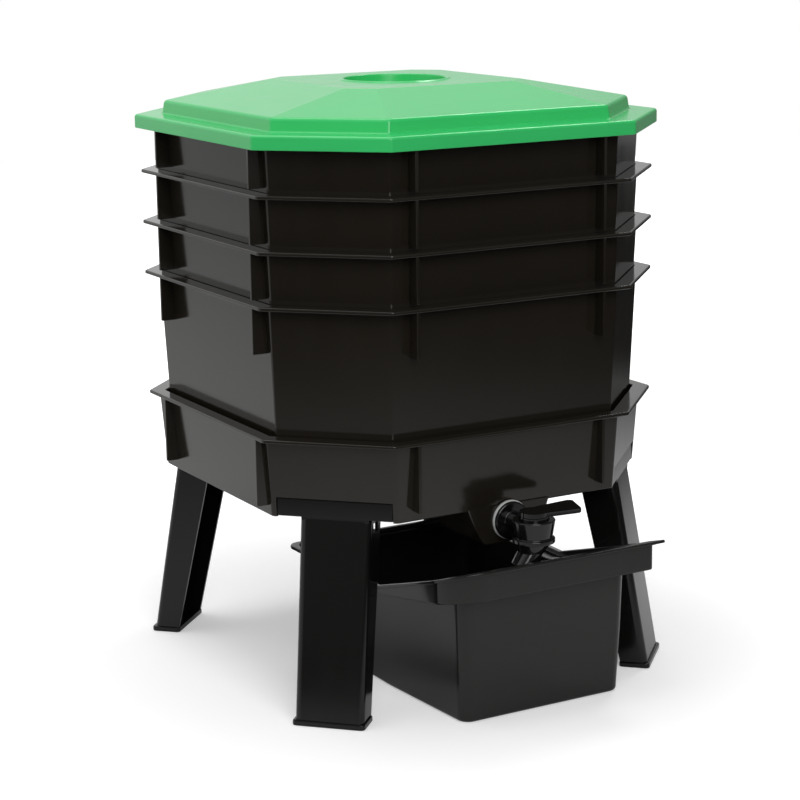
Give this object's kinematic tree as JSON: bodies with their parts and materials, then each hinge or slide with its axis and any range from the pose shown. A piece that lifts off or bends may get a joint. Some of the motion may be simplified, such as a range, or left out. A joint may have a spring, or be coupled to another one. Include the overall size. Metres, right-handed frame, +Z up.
{
  "type": "stacking tray wormery",
  "caption": "Stacking tray wormery: nesting octagonal trays over a liquid collector on splayed legs, faceted lid, drain tap and catch bin.",
  "frame": {"origin": "on the ground, midway between the four feet, on the centre line of the stack", "axes": "+Z up; the tap and the scuttle are on the -Y side, +X is to the right of someone who faces the tap"},
  "size_m": [0.428, 0.4735, 0.5565],
  "materials": {
    "lid_green": "satin moulded plastic, mid green",
    "body_black": "satin moulded recycled plastic, black",
    "leg_black": "satin moulded plastic, black",
    "bin_black": "satin moulded plastic, black",
    "tap_black": "satin moulded plastic, black",
    "washer_grey": "soft pale grey seal"
  },
  "bodies": {
    "stand": {"base_collector": "body_black", "leg_front_left": "leg_black", "leg_front_right": "leg_black", "leg_back_right": "leg_black", "leg_back_left": "leg_black", "drain_strainer": "body_black", "tap_body": "tap_black", "tap_cap": "tap_black", "tap_outer_washer": "washer_grey", "tap_inner_washer": "washer_grey", "tap_back_nut": "tap_black"},
    "tray_1": {"tray_1": "body_black"},
    "tray_2": {"tray_2": "body_black"},
    "tray_3": {"tray_3": "body_black"},
    "tray_4": {"tray_4": "body_black"},
    "lid": {"lid": "lid_green"},
    "tap_valve": {"tap_valve_core": "tap_black", "tap_core_seal": "washer_grey", "tap_lever": "tap_black"},
    "bin": {"collection_bin": "bin_black"}
  },
  "joints": [
    {"name": "tray_1_lift", "type": "slide", "parent": "stand", "child": "tray_1", "axis": [0, 0, 1], "range_m": [0, 0.06]},
    {"name": "tray_2_lift", "type": "slide", "parent": "tray_1", "child": "tray_2", "axis": [0, 0, 1], "range_m": [0, 0.13]},
    {"name": "tray_3_lift", "type": "slide", "parent": "tray_2", "child": "tray_3", "axis": [0, 0, 1], "range_m": [0, 0.13]},
    {"name": "tray_4_lift", "type": "slide", "parent": "tray_3", "child": "tray_4", "axis": [0, 0, 1], "range_m": [0, 0.13]},
    {"name": "lid_lift", "type": "slide", "parent": "tray_4", "child": "lid", "axis": [0, 0, 1], "range_m": [0, 0.06]},
    {"name": "tap_turn", "type": "hinge", "parent": "stand", "child": "tap_valve", "pos_m": [0, -0.24, 0.1715], "axis": [0, 0, -1], "range_deg": [0, 90]},
    {"name": "bin_slide", "type": "slide", "parent": "stand", "child": "bin", "axis": [0, -1, 0], "range_m": [0, 0.33]}
  ]
}
